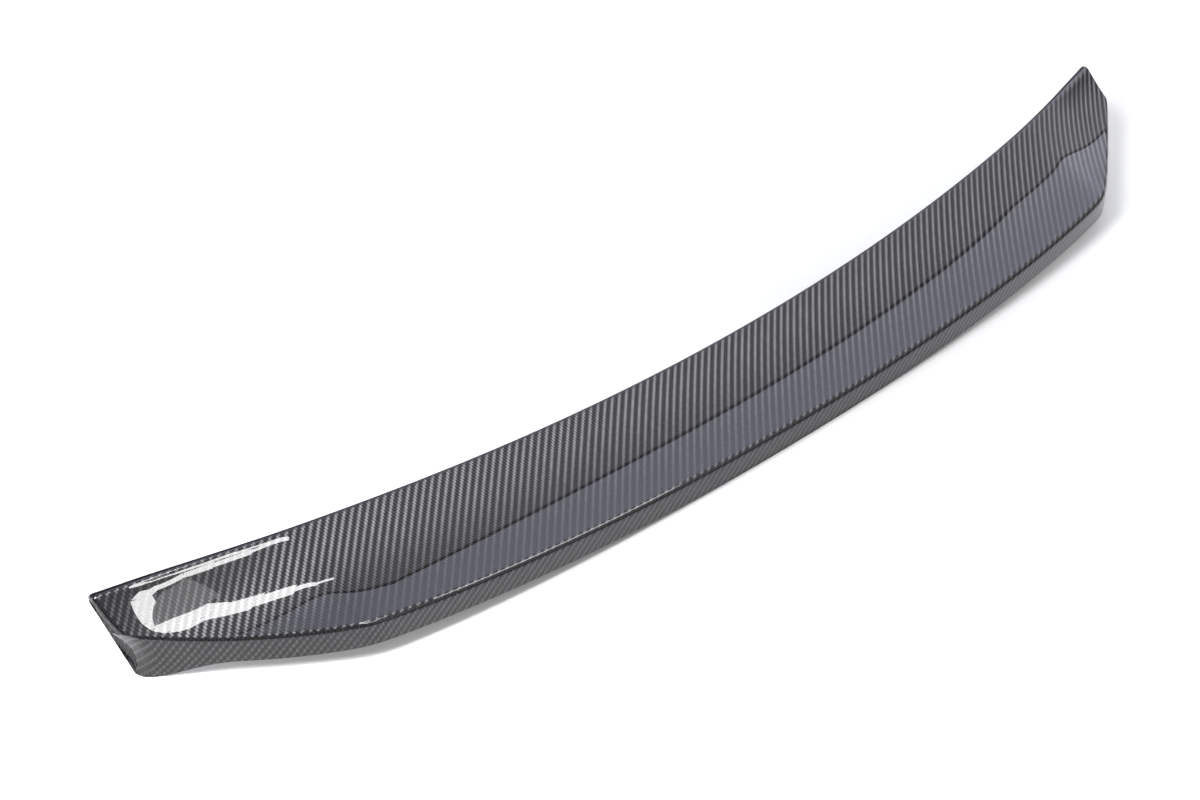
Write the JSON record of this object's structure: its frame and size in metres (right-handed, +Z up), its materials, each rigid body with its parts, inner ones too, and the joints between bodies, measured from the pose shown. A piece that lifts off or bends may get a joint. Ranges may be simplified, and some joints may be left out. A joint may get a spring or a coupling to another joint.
{
  "type": "car rear spoiler",
  "caption": "Low lip spoiler for the rear edge of a boot lid: one thin woven laminate shell, bowed along its span, with swept ends that run down to small feet.",
  "frame": {"origin": "middle of the bounding box on the table the spoiler rests on", "axes": "+X along the span, +Y from the trailing lip to the leading edge, +Z up from the table"},
  "size_m": [1.1848, 0.1762, 0.0635],
  "materials": {
    "carbon_laminate": "gloss clear coat over woven carbon fibre"
  },
  "bodies": {
    "root": {"spoiler_shell": "carbon_laminate"}
  },
  "joints": []
}
